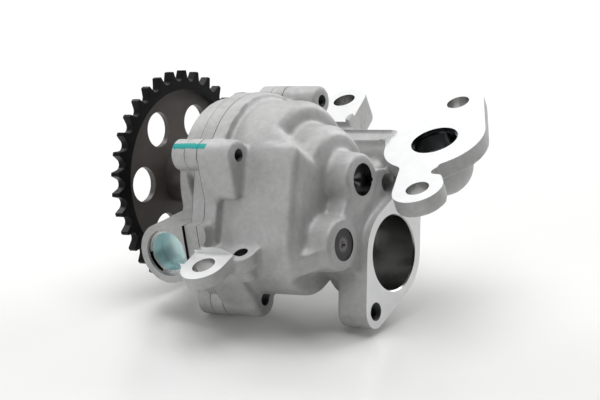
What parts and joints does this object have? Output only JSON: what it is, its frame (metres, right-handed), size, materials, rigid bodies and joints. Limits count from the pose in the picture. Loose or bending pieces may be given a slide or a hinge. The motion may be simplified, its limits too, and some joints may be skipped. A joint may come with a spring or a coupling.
{
  "type": "engine oil pump",
  "caption": "Chain-driven gear oil pump in a cast aluminium housing, with outlet flange, inlet flange, mounting tabs, drive sprocket and relief valve.",
  "frame": {"origin": "centre of the outlet port on the machined mounting face", "axes": "+Z leaves the mounting face towards the engine, X runs along the two shafts with the sprocket at -X and the inlet flange facing +X, and +Y points to the far mounting lug"},
  "size_m": [0.1377, 0.1455, 0.0994],
  "materials": {
    "cast_aluminium": "shot-blasted die casting, satin",
    "fastener_steel": "phosphated, dull",
    "ground_steel": "ground, semi-bright",
    "bearing_bronze": "machined",
    "plug_aluminium": "machined",
    "cup_steel": "pressed, zinc plated, satin",
    "spring_steel": "oil tempered, dark",
    "shaft_steel": "hardened, dark, semi-bright",
    "gear_steel": "sintered, machined",
    "black_oxide_steel": "black oxide, satin"
  },
  "bodies": {
    "housing": {"pump_body": "cast_aluminium", "port_plate": "cast_aluminium", "front_cover": "cast_aluminium", "cover_bolts": "fastener_steel", "dowel_pins": "ground_steel", "front_bush": "bearing_bronze", "gallery_plug": "plug_aluminium", "relief_cup": "cup_steel", "relief_circlip": "spring_steel", "relief_spring": "spring_steel"},
    "drive": {"drive_shaft": "shaft_steel", "drive_gear": "gear_steel", "drive_key": "ground_steel", "thrust_washer": "bearing_bronze", "sprocket": "black_oxide_steel", "sprocket_washer": "fastener_steel", "sprocket_bolt": "fastener_steel"},
    "idler": {"idler_shaft": "shaft_steel", "driven_gear": "gear_steel", "driven_key": "ground_steel"},
    "piston": {"relief_piston": "ground_steel"}
  },
  "joints": [
    {"name": "drive_spin", "type": "hinge", "parent": "housing", "child": "drive", "pos_m": [-0.06, -0.035, 0.003], "axis": [1, 0, 0], "continuous": true},
    {"name": "idler_spin", "type": "hinge", "parent": "housing", "child": "idler", "pos_m": [-0.06, -0.0593, -0.01189], "axis": [1, 0, 0], "continuous": true},
    {"name": "relief_slide", "type": "slide", "parent": "housing", "child": "piston", "axis": [0, -0.9613, 0.2756], "range_m": [0, 0.008], "stiffness_N_per_m": 800, "springref_m": -0.001, "deforming": ["relief_spring"]}
  ],
  "couplings": [
    {"joint": "idler_spin", "follows": "drive_spin", "ratio": -1}
  ]
}
